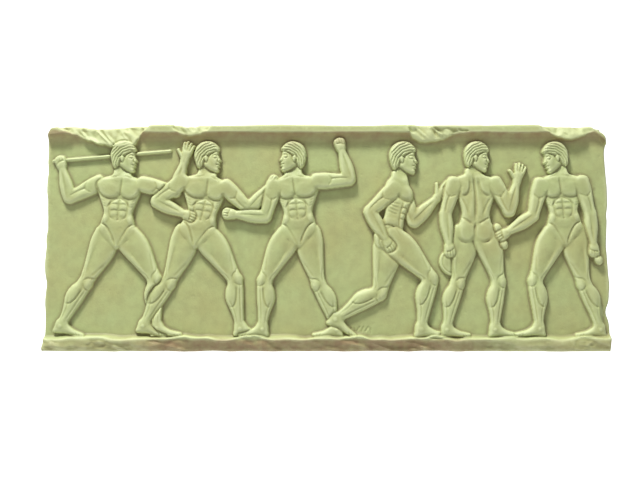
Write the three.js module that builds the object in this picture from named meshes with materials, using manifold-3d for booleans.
// Relief plaque: one casting, with a frieze of six athletes in the archaic manner.
// Millimetres, +Z up. The relief faces -Y and the flat back lies on Y = 0, its centre at the origin.
import * as THREE from 'three';
import Module from 'manifold-3d';
import { mergeVertices } from 'three/addons/utils/BufferGeometryUtils.js';

// Driving dimensions of the slab
const WIDTH = 420;
const HEIGHT = 169;
const THICKNESS = 25; // from the back to the front of the top band
const RECESS = 6; // how far the panel lies behind the band
const BAND = 5.3; // height of the flat band along the top
const SLOPE = 11; // height of the hollow slope under the band
const LEDGE = 11.5; // height of the ground ledge
const LEDGE_FALL = 3; // how far the ledge's top falls towards its lip
const WORN_EDGE = 2.2; // how far the slab's front edges are worn round
const SECTION_SPACING = 23; // between the sections that carry the worn edges
const HOLLOW = { depth: 0.35, height: 0.45 }; // shares of the slope's depth and height at its hollow
const FILLET = { depth: 1.8, height: 1.6 }; // where the ledge's top meets the panel

// Losses of the worn slab, behind the band's front and in from its ends
const BAND_LOSS = 0.6; // at the band's foot
const LEDGE_LOSS = { lip: 1, chin: 2.4, foot: 5 }; // of the ledge's broken front, from the top down
const CHIN = 0.4; // height of the ledge's chin, as a share of the ledge
const END_LOSS = 1.2;

// The worn edges wander along the slab: how far, over what length, and where the wave starts
const WANDER = {
  top: [0.3, 95, 0.6],
  bandFoot: [0.6, 120, 1.1],
  slopeFoot: [0.9, 150, 2.2],
  ledge: [0.7, 63, 0.4],
  ledgeGrain: [0.4, 27, 1.9],
  lip: [0.8, 44, 2.6],
  chin: [1.3, 71, 0.2],
  foot: [1.2, 58, 1.3],
  leftEnd: [0.7, 74, 0.5],
  rightEnd: [0.7, 74, 2.4],
};

// How the relief sits on the panel
const HEAD_ROOM = 12; // from the top edge to the crowns
const SOLE_SINK = 1.2; // how deep the soles stand in the ledge
const SUNK = 2; // how far each form is rooted in the panel
const PANEL = THICKNESS - RECESS;

// Proportions of a figure, in millimetres on a figure of standard height
const TORSO = 43;
const NECK = 3;
const THIGH = 39;
const SHIN = 34.5;
const UPPER_ARM = 25.5;
const FOREARM = 23.5;
const FRONTAL = { hip: 6.6, shoulder: 14.8, drop: 5.6 }; // reach of the joints, and the shoulders' drop
const PROFILE = { hip: 0.8, shoulder: 1.5, drop: 7.5 };
const SKULL = { up: 9.6, forward: 1.2, crown: 12.6 };
const GRIP = 5; // from the wrist to the middle of the closed hand

// Half widths of the limbs at even steps from joint to joint, on the front and on the back
const THIGH_SIDES = [[9.4, 10.6, 5.8], [10, 9, 5.6]];
const CALF_SIDES = [[5.8, 5.1, 4.2, 3.3], [5.4, 8.6, 6.1, 3.4]];
const ARM_SIDES = [[6.4, 5.9, 4.6], [6.2, 5.5, 4.4]];
const FOREARM_SIDES = [[4.6, 4.9, 2.8], [4.5, 4.7, 2.7]];
const NECK_SIDES = [[5.4, 5.6], [4.8, 4.8]];
const SHAFT_SIDES = [[1.25, 1.25], [1.25, 1.25]];
const BAR_SIDES = [[1.8, 1.8], [1.8, 1.8]];
const ROUND_END = 0.75; // reach of a limb's round end, as a share of its half width

// Half outlines of the torso: share of its height, and half width
const TORSO_FRONT = [[-0.25, 1.6], [-0.13, 7], [0.06, 12.9], [0.33, 10.7], [0.56, 13.2],
  [0.76, 16.4], [0.87, 16.4], [0.96, 11.5], [1.02, 5.4]];
const TORSO_BACK = [[-0.135, 0.6], [-0.2, 5], [-0.165, 10.6], [-0.04, 13.4], [0.16, 12], [0.33, 10.6],
  [0.56, 13.2], [0.76, 16.4], [0.87, 16.4], [0.96, 11.5], [1.02, 5.4]];
const TORSO_CHEST = [[-0.18, 6], [0, 8.8], [0.25, 7.5], [0.58, 10], [0.76, 10.8], [0.89, 6.8], [1, 2.6]];
const TORSO_SPINE = [[-0.2, 7], [0, 11.4], [0.33, 6.6], [0.62, 8.4], [0.78, 9.8], [0.9, 8.6], [1.02, 5.4]];
const TURN_FROM = 0.3; // a turned body turns from this share of its height below the hips
const TORSO_CORE = [0.04, 0.86]; // ends of the line that the torso's surface rises to
const BACKBONE_REACH = 16; // half width over which a turned body's middle is moved

// Outlines in the head's own frame: forward and up from the middle of the head
const FACE = [[6.8, 7.6], [8.2, 4.6], [8.1, 2.3], [10.1, -2.2], [8.9, -3.4], [9.3, -4.5], [9.2, -6.4],
  [8.5, -9.2], [6.6, -11], [2, -9.2], [-6, -6], [-8.6, 2], [-5, 9], [2, 10.8]];
const CHEEK = [1.5, -1];
const NAPE = [-1.5, -5];
const HAIRLINE = [[8.7, 4.8], [4.4, 4], [0.6, 1], [-1.6, -2.4], [-3.8, -5.8]];
const HAIR_EDGE = [[7.6, 8.6], [1.6, 12.3], [-6, 11], [-10.2, 3], [-7.4, -6.6]];
const HAIR_ROLLS = 3;
const ROLL_WIDTH = 0.86; // share of a roll's place that it fills, with a groove after it

// Outlines of foot and hand, forward and up from ankle or wrist
const FOOT = [[-4.7, -2.2], [-4.2, -6.1], [4, -5.9], [16.4, -6.2], [17.8, -4.4], [5.4, 1.6], [0, 4.6],
  [-3.6, 2.6]];
const INSTEP = [4, -2.2];
const FIST = [[-1.5, -2.7], [3, -4.1], [7.4, -3.6], [8.6, 1.4], [5.6, 4.5], [-1.5, 2.7]];
const PALM = [[-1.5, -2.6], [8, -3.7], [8.2, 3.5], [3.5, 3.6], [-1.5, 2.6]];
const PALM_MIDDLE = [3.6, 0];
const FINGERS = [[-2.8, -9, 5.2], [-0.9, -3, 6.4], [1, 3, 6.8], [2.8, 8, 5.8]]; // offset, spread, length
const FINGER_ROOT = 6;
const FINGER = 1.2; // half width
const THUMB = [[2.6, 2.6], [7.2, 7.2]];
const THUMB_WIDTH = 1.5;

// Levels at which forms lie over each other: height of the edge above the panel, rise, width of the rounding
const LEVEL = {
  farLimb: [1, 2.6, 5.5],
  nearLimb: [2.4, 2.8, 5.5],
  farLeg: [0.9, 2.8, 6],
  nearLeg: [1.5, 3, 6],
  stridingLeg: [2, 3, 6],
  torso: [1.9, 2.9, 6.5],
  muscle: [3.6, 1.9, 5],
  belly: [3.9, 1.6, 2.2],
  buttock: [3, 2.6, 6],
  face: [2.2, 2.8, 5.5],
  hair: [2.9, 2.4, 2.2],
  prop: [0.9, 2.4, 3.2],
  shaft: [1, 1.6, 1],
};
const DOME = [1, 0.62]; // share of the half width at each ring of a rounded form
const FLAT = [0.8]; // the same for flat blocks, locks and fingers

// Muscles of the torso: share of its height, place across, half height as a share, half width
const CHEST = [0.735, 7.3, 0.125, 7.2];
const BELLY_ROWS = [0.52, 0.4];
const BELLY_BLOCK = [2.9, 0.055, 2.7];
const LOWER_BELLY = [0.15, 0, 0.11, 6.4];
const SHOULDER_BLADE = [0.76, 8, 0.13, 6];
const BUTTOCK = [-0.03, 6.1, 0.15, 6];
const PROFILE_CHEST = [0.74, 4.8, 0.13, 6];
const PROFILE_BLOCK = [6, 0.055, 2.3];
const MUSCLE_SIDES = 6;
const BLOCK_SIDES = 4;

// What the hands hold
const DISCUS = { radius: 10.5, hang: 7.4, sides: 14 };
const WEIGHT = { length: 4.2, width: 3.4, spread: 6, sides: 6 };

// The six athletes from the left, placed by shares of the slab's width from its middle.
// Angles are degrees from straight down, towards the way that the figure faces.
const CAST = [
  {
    at: -0.371, facing: 1, view: 'front', lean: 3, nod: 2, turned: 1.5, sway: -1,
    legs: [[33, 3], [-24, -29]], feet: [0, 10], arms: [[76, 164], [-62, -166]],
    hands: ['open', 'fist'], armsBehind: [1],
    props: [{ kind: 'shaft', hand: 1, angle: 95, back: 5, ahead: 80 }],
  },
  {
    at: -0.231, facing: 1, view: 'front', lean: 8, nod: 0, turned: 2.5, sway: 1,
    legs: [[34, 6], [-20, -30]], feet: [0, 10], arms: [[45, 140], [-52, 66]],
    hands: ['fist', 'fist'], armsBehind: [], props: [],
  },
  {
    at: -0.05, facing: -1, view: 'front', lean: 4, nod: -2, turned: 2, sway: -1.5,
    legs: [[28, 2], [-12, -22]], feet: [0, 0], arms: [[15, 95], [-92, -196]],
    hands: ['fist', 'fist'], armsBehind: [], props: [],
  },
  {
    at: 0.112, facing: 1, view: 'side', lean: 10, nod: 0, turned: 0, sway: 0,
    legs: [[44, -12], [-10, -60]], feet: [0, 26], arms: [[20, 136], [-48, 30]],
    hands: ['open', 'fist'], armsBehind: [0], props: [],
  },
  {
    at: 0.262, facing: 1, view: 'back', lean: 0, nod: 4, turned: -1, sway: 1.5,
    legs: [[16, -6], [-10, -14]], feet: [0, 0], arms: [[25, 165], [-16, 6]],
    hands: ['open', 'fist'], armsBehind: [], props: [{ kind: 'discus', hand: 1, angle: 20 }],
  },
  {
    at: 0.421, facing: -1, view: 'front', lean: 3, nod: 12, turned: 2, sway: -1,
    legs: [[24, -4], [-10, -18]], feet: [0, 0], arms: [[14, 58], [-14, -4]],
    hands: ['fist', 'fist'], armsBehind: [],
    props: [{ kind: 'weight', hand: 0, angle: 160 }, { kind: 'weight', hand: 1, angle: 150 }],
  },
];

// Breaks of the top moulding: place as a share of the width, half width, loss of the top edge and of the
// front, and drop of the slope's foot
const BREAKS = [
  { at: -0.443, spread: 12, top: 0.8, front: 1.5, foot: -1 },
  { at: -0.376, spread: 20, top: 1, front: 3.2, foot: 8 },
  { at: -0.231, spread: 8, top: 1.6, front: 3, foot: 2 },
  { at: 0.186, spread: 13, top: 0.6, front: 3.4, foot: 2.5 },
  { at: 0.431, spread: 15, top: 1.2, front: 2.4, foot: 3.5 },
];

const wasm = await Module();
wasm.setup();

const point = (x, z) => new THREE.Vector2(x, z);
const along = (origin, direction, distance) => origin.clone().addScaledVector(direction, distance);

// Unit vector at an angle from straight down, towards the way that a figure faces
function heading(degrees, facing = 1) {
  const angle = THREE.MathUtils.degToRad(degrees);
  return point(facing * Math.sin(angle), -Math.cos(angle));
}

// The point of a line that is nearest to a spot; the line may be a single point
function nearest(line, spot) {
  let best = line[0];
  for (let i = 0; i + 1 < line.length; i++) {
    const run = line[i + 1].clone().sub(line[i]);
    const share = spot.clone().sub(line[i]).dot(run) / run.lengthSq();
    const foot = along(line[i], run, THREE.MathUtils.clamp(share, 0, 1));
    if (foot.distanceTo(spot) < best.distanceTo(spot)) best = foot;
  }
  return best;
}

// Calls place(spot, ring) for each vertex of a stepped extrusion, and puts the vertex where it says
function reshape(geometry, place) {
  const { position } = geometry.attributes;
  for (let i = 0; i < position.count; i++) {
    const spot = point(position.getX(i), position.getY(i));
    const { x, y, z } = place(spot, Math.round(position.getZ(i)));
    position.setXYZ(i, x, y, z);
  }
  return geometry;
}

function solidOf(geometry) {
  const bare = geometry.clone();
  bare.deleteAttribute('normal');
  bare.deleteAttribute('uv');
  const merged = mergeVertices(bare);
  const vertProperties = new Float32Array(merged.attributes.position.array);
  const triVerts = new Uint32Array(merged.index.array);
  return new wasm.Manifold(new wasm.Mesh({ numProp: 3, vertProperties, triVerts }));
}

// A form carved on the panel: its outline rises in rings that close in on a line inside it
function carve(outline, line, [edge, rise, rounding], rings = DOME) {
  const steps = rings.length;
  const settings = { depth: steps, steps, bevelEnabled: false };
  const geometry = new THREE.ExtrudeGeometry(new THREE.Shape(outline), settings);
  return solidOf(reshape(geometry, (spot, ring) => {
    const core = nearest(line, spot);
    const share = ring ? rings[ring - 1] : 1;
    const inset = Math.min((spot.distanceTo(core) * (1 - share)) / rounding, 1);
    const height = ring ? edge + rise * Math.sqrt(1 - (1 - inset) ** 2) : -SUNK;
    const drawn = core.clone().lerp(spot, share);
    return new THREE.Vector3(drawn.x, -(PANEL + height), drawn.y);
  }));
}

// A limb between two joints, with round ends
function limb(from, to, [front, back], facing, size, level, rings) {
  const run = to.clone().sub(from).normalize();
  const across = point(-run.y, run.x).multiplyScalar(facing);
  const last = front.length - 1;
  const joint = (i) => from.clone().lerp(to, i / last);
  const side = (widths, sign) => widths.map((width, i) => along(joint(i), across, sign * width * size));
  const end = (i, sign) => along(joint(i), run, sign * ROUND_END * front[i] * size);
  const outline = [...side(front, 1), end(last, 1), ...side(back, -1).reverse(), end(0, -1)];
  return carve(outline, [from, to], level, rings);
}

// Joints of a figure whose pelvis is at a given point, drawn at a given size
function skeleton(pose, pelvis, size) {
  const { facing } = pose;
  const reach = pose.view === 'side' ? PROFILE : FRONTAL;
  const up = heading(180 - pose.lean, facing);
  const side = point(up.y, -up.x).multiplyScalar(facing);
  const neck = along(pelvis, up, TORSO * size);
  const yoke = along(neck, up, -reach.drop * size);
  const chain = (start, [first, second], [upper, lower]) => {
    const middle = along(start, heading(first, facing), upper * size);
    return [start, middle, along(middle, heading(second, facing), lower * size)];
  };
  const pair = (centre, distance, angles, lengths) => angles.map((both, i) => (
    chain(along(centre, side, (i ? -distance : distance) * size), both, lengths)));
  const legs = pair(pelvis, reach.hip, pose.legs, [THIGH, SHIN]);
  const arms = pair(yoke, reach.shoulder, pose.arms, [UPPER_ARM, FOREARM]);
  const brow = heading(90 - pose.nod, facing);
  const crown = heading(180 - pose.nod, facing);
  const head = along(along(along(neck, up, NECK * size), crown, SKULL.up * size), brow, SKULL.forward * size);
  const feet = legs.map(([, , ankle], i) => {
    const toe = heading(90 - pose.feet[i], facing);
    const instep = heading(180 - pose.feet[i], facing);
    return ([x, z]) => along(along(ankle, toe, x * size), instep, z * size);
  });
  return { pose, size, pelvis, up, side, neck, legs, arms, feet, head, brow, crown };
}

// The figure at the size that takes it from the ledge to the line of crowns
function stand(pose) {
  const trial = skeleton(pose, point(0, 0), 1);
  const sole = Math.min(...trial.feet.flatMap((place) => FOOT.map((corner) => place(corner).y)));
  const ground = LEDGE - SOLE_SINK - HEIGHT / 2;
  const size = (HEIGHT / 2 - HEAD_ROOM - ground) / (trial.head.y + SKULL.crown - sole);
  return skeleton(pose, point(pose.at * WIDTH, ground - sole * size), size);
}

// A place on the torso: share of its height, and millimetres to the side that the figure faces
function onTorso({ pose, pelvis, up, side, size }, [share, across]) {
  const middle = Math.max(0, 1 - (across / BACKBONE_REACH) ** 2);
  const turn = pose.turned * middle * THREE.MathUtils.clamp(share + TURN_FROM, 0, 1);
  const sway = pose.sway * Math.sin(Math.PI * THREE.MathUtils.clamp(share, 0, 1));
  return along(along(pelvis, up, TORSO * share * size), side, (across + turn + sway) * size);
}

function torso(figure) {
  const halves = {
    front: [TORSO_FRONT, TORSO_FRONT],
    back: [TORSO_BACK, TORSO_BACK],
    side: [TORSO_CHEST, TORSO_SPINE],
  };
  const [leading, trailing] = halves[figure.pose.view];
  const mirrored = trailing.map(([share, across]) => [share, -across]).reverse();
  const outline = [...leading, ...mirrored].map((place) => onTorso(figure, place));
  return carve(outline, TORSO_CORE.map((share) => onTorso(figure, [share, 0])), LEVEL.torso);
}

// A muscle that stands out of the torso, as an ellipse
function muscle(figure, [share, across, reach, width], level, sides, rings) {
  const ellipse = Array.from({ length: sides }, (_, i) => {
    const angle = (i / sides) * 2 * Math.PI;
    return onTorso(figure, [share + reach * Math.sin(angle), across + width * Math.cos(angle)]);
  });
  return carve(ellipse, [onTorso(figure, [share, across])], level, rings);
}

// Chest and belly, or shoulder blades and buttocks
function muscles(figure) {
  const large = (place, level = LEVEL.muscle) => muscle(figure, place, level, MUSCLE_SIDES, FLAT);
  const block = (place) => muscle(figure, place, LEVEL.belly, BLOCK_SIDES, FLAT);
  const both = (make, [share, across, ...size], level) => (
    [make([share, across, ...size], level), make([share, -across, ...size], level)]);
  if (figure.pose.view === 'back') {
    return [...both(large, SHOULDER_BLADE), ...both(large, BUTTOCK, LEVEL.buttock)];
  }
  if (figure.pose.view === 'side') {
    return [large(PROFILE_CHEST), ...BELLY_ROWS.map((share) => block([share, ...PROFILE_BLOCK]))];
  }
  const rows = BELLY_ROWS.flatMap((share) => both(block, [share, ...BELLY_BLOCK]));
  return [...both(large, CHEST), ...rows, large(LOWER_BELLY)];
}

function leg(figure, which, level) {
  const { legs, feet, pose, size } = figure;
  const [hip, knee, ankle] = legs[which];
  return [
    limb(hip, knee, THIGH_SIDES, pose.facing, size, level),
    limb(knee, ankle, CALF_SIDES, pose.facing, size, level),
    carve(FOOT.map(feet[which]), [feet[which](INSTEP)], level),
  ];
}

// A finger or thumb as a narrow strip with a pointed tip
function finger(root, tip, width, level) {
  const run = tip.clone().sub(root).normalize();
  const across = point(-run.y, run.x);
  const corner = (end, sign) => along(end, across, sign * width);
  const nail = along(tip, run, width);
  const outline = [corner(root, 1), corner(root, -1), corner(tip, -1), nail, corner(tip, 1)];
  return carve(outline, [root, tip], level, FLAT);
}

// Hand at a wrist, seen along the forearm: closed, or open with its fingers spread
function hand(figure, which, level) {
  const { arms, pose, size } = figure;
  const [, elbow, wrist] = arms[which];
  const reach = wrist.clone().sub(elbow).normalize();
  const thumbSide = point(-reach.y, reach.x).multiplyScalar(pose.facing);
  const place = ([x, z]) => along(along(wrist, reach, x * size), thumbSide, z * size);
  const middle = [place(PALM_MIDDLE)];
  if (pose.hands[which] === 'fist') return [carve(FIST.map(place), middle, level, FLAT)];
  const fingers = FINGERS.map(([offset, spread, length]) => {
    const angle = THREE.MathUtils.degToRad(spread);
    const tip = [FINGER_ROOT + length * Math.cos(angle), offset + length * Math.sin(angle)];
    return finger(place([FINGER_ROOT, offset]), place(tip), FINGER * size, level);
  });
  const thumb = finger(...THUMB.map(place), THUMB_WIDTH * size, level);
  return [carve(PALM.map(place), middle, level, FLAT), ...fingers, thumb];
}

function arm(figure, which) {
  const { arms, pose, size } = figure;
  const [shoulder, elbow, wrist] = arms[which];
  const level = pose.armsBehind.includes(which) ? LEVEL.farLimb : LEVEL.nearLimb;
  return [
    limb(shoulder, elbow, ARM_SIDES, pose.facing, size, level),
    limb(elbow, wrist, FOREARM_SIDES, pose.facing, size, level, FLAT),
    ...hand(figure, which, level),
  ];
}

// Neck, face, and hair in rolls that run round the head from the brow to the nape
function head(figure) {
  const { neck, pose, size, brow, crown } = figure;
  const place = ([x, z]) => along(along(figure.head, brow, x * size), crown, z * size);
  const rolls = Array.from({ length: HAIR_ROLLS }, (_, roll) => {
    const line = (share) => HAIRLINE.map((inner, i) => place(inner).lerp(place(HAIR_EDGE[i]), share));
    const inner = line(roll / HAIR_ROLLS);
    const outer = line((roll + ROLL_WIDTH) / HAIR_ROLLS);
    return carve([...inner, ...outer.reverse()], line((roll + ROLL_WIDTH / 2) / HAIR_ROLLS), LEVEL.hair, FLAT);
  });
  return [
    limb(neck, place(NAPE), NECK_SIDES, pose.facing, size, LEVEL.torso, FLAT),
    carve(FACE.map(place), [place(CHEEK)], LEVEL.face),
    ...rolls,
  ];
}

// What a hand holds: a throwing shaft, a discus or a jumper's weight
function prop(figure, { kind, hand: which, angle, back, ahead }) {
  const { arms, size, pose } = figure;
  const [, elbow, wrist] = arms[which];
  const grip = along(wrist, wrist.clone().sub(elbow).normalize(), GRIP * size);
  const run = heading(angle, pose.facing);
  const across = point(-run.y, run.x);
  const plate = (centre, length, width, sides) => {
    const ellipse = Array.from({ length: sides }, (_, i) => {
      const turn = (i / sides) * 2 * Math.PI;
      return along(along(centre, run, length * Math.cos(turn)), across, width * Math.sin(turn));
    });
    return carve(ellipse, [centre], LEVEL.prop, FLAT);
  };
  if (kind === 'shaft') {
    const [tail, tip] = [along(grip, run, -back * size), along(grip, run, ahead * size)];
    return [limb(tail, tip, SHAFT_SIDES, pose.facing, size, LEVEL.shaft, FLAT)];
  }
  if (kind === 'discus') {
    const radius = DISCUS.radius * size;
    return [plate(along(grip, run, DISCUS.hang * size), radius, radius, DISCUS.sides)];
  }
  const ends = [-WEIGHT.spread, WEIGHT.spread].map((offset) => along(grip, run, offset * size));
  return [
    ...ends.map((centre) => plate(centre, WEIGHT.length * size, WEIGHT.width * size, WEIGHT.sides)),
    limb(...ends, BAR_SIDES, pose.facing, size, LEVEL.prop, FLAT),
  ];
}

function athlete(pose) {
  const figure = stand(pose);
  return [
    ...pose.props.flatMap((held) => prop(figure, held)),
    ...leg(figure, 1, LEVEL.farLeg),
    ...leg(figure, 0, pose.view === 'side' ? LEVEL.stridingLeg : LEVEL.nearLeg),
    torso(figure),
    ...muscles(figure),
    ...head(figure),
    ...arm(figure, 0),
    ...arm(figure, 1),
  ];
}

// How far a worn edge stands off its line, and what a break has taken, at a place along the slab
function wander(edge, place) {
  const [reach, length, start] = WANDER[edge];
  return reach * Math.sin((2 * Math.PI * place) / length + start);
}

const broken = (what, x) => BREAKS.reduce((sum, gap) => (
  sum + gap[what] * Math.exp(-(((x - gap.at * WIDTH) / gap.spread) ** 2))), 0);

// Section of the slab at a place along it: depth and height, from the foot of the back round to its top
function section(x) {
  const [floor, roof] = [-HEIGHT / 2, HEIGHT / 2];
  const top = roof - broken('top', x) - WANDER.top[0] - wander('top', x);
  const front = THICKNESS - broken('front', x);
  const bandFoot = roof - BAND - wander('bandFoot', x) - broken('foot', x) / 4;
  const slopeFoot = roof - BAND - SLOPE - wander('slopeFoot', x) - broken('foot', x);
  const ledgeTop = floor + LEDGE + wander('ledge', x) + wander('ledgeGrain', x);
  return [
    [0, floor],
    [THICKNESS - LEDGE_LOSS.foot + wander('foot', x), floor],
    [THICKNESS - LEDGE_LOSS.chin + wander('chin', x), floor + LEDGE * CHIN],
    [THICKNESS - LEDGE_LOSS.lip + wander('lip', x), ledgeTop - LEDGE_FALL],
    [PANEL + FILLET.depth, ledgeTop],
    [PANEL, ledgeTop + FILLET.height],
    [PANEL, slopeFoot],
    [PANEL + (front - PANEL) * HOLLOW.depth, bandFoot - SLOPE * HOLLOW.height],
    [front - BAND_LOSS, bandFoot],
    [front, top - WORN_EDGE],
    [front - WORN_EDGE, top],
    [0, roof],
  ];
}

// The slab as sections along its width, with its ends worn back in front of the flat back
function slab() {
  const reach = WIDTH / 2 - WORN_EDGE;
  const spans = Math.round((2 * reach) / SECTION_SPACING);
  const between = Array.from({ length: spans + 1 }, (_, i) => reach - (i / spans) * 2 * reach);
  const stations = [WIDTH / 2, ...between, -WIDTH / 2];
  const steps = stations.length - 1;
  const pattern = section(0);
  const shape = new THREE.Shape(pattern.map(([depth, z]) => point(depth, z)));
  const geometry = new THREE.ExtrudeGeometry(shape, { depth: steps, steps, bevelEnabled: false });
  return solidOf(reshape(geometry, (spot, step) => {
    const gaps = pattern.map(([depth, z]) => spot.distanceTo(point(depth, z)));
    const x = stations[step];
    const [depth, z] = section(x)[gaps.indexOf(Math.min(...gaps))];
    const worn = depth > 0 && Math.abs(x) === WIDTH / 2;
    const loss = worn ? END_LOSS + wander(x < 0 ? 'leftEnd' : 'rightEnd', z) : 0;
    return new THREE.Vector3(x - Math.sign(x) * loss, -(worn ? depth - WORN_EDGE : depth), z);
  }));
}

function plaque() {
  const mesh = CAST.flatMap(athlete).reduce((sum, form) => sum.add(form), slab()).getMesh();
  const geometry = new THREE.BufferGeometry();
  geometry.setAttribute('position', new THREE.Float32BufferAttribute(mesh.vertProperties, 3));
  geometry.setIndex([...mesh.triVerts]);
  const castStone = new THREE.MeshStandardMaterial({ color: 0xb9c28c, roughness: 0.75, metalness: 0 });
  const node = new THREE.Mesh(geometry, castStone);
  node.name = 'relief_plaque';
  return node;
}

const object = new THREE.Group();
object.add(plaque());

export default object;
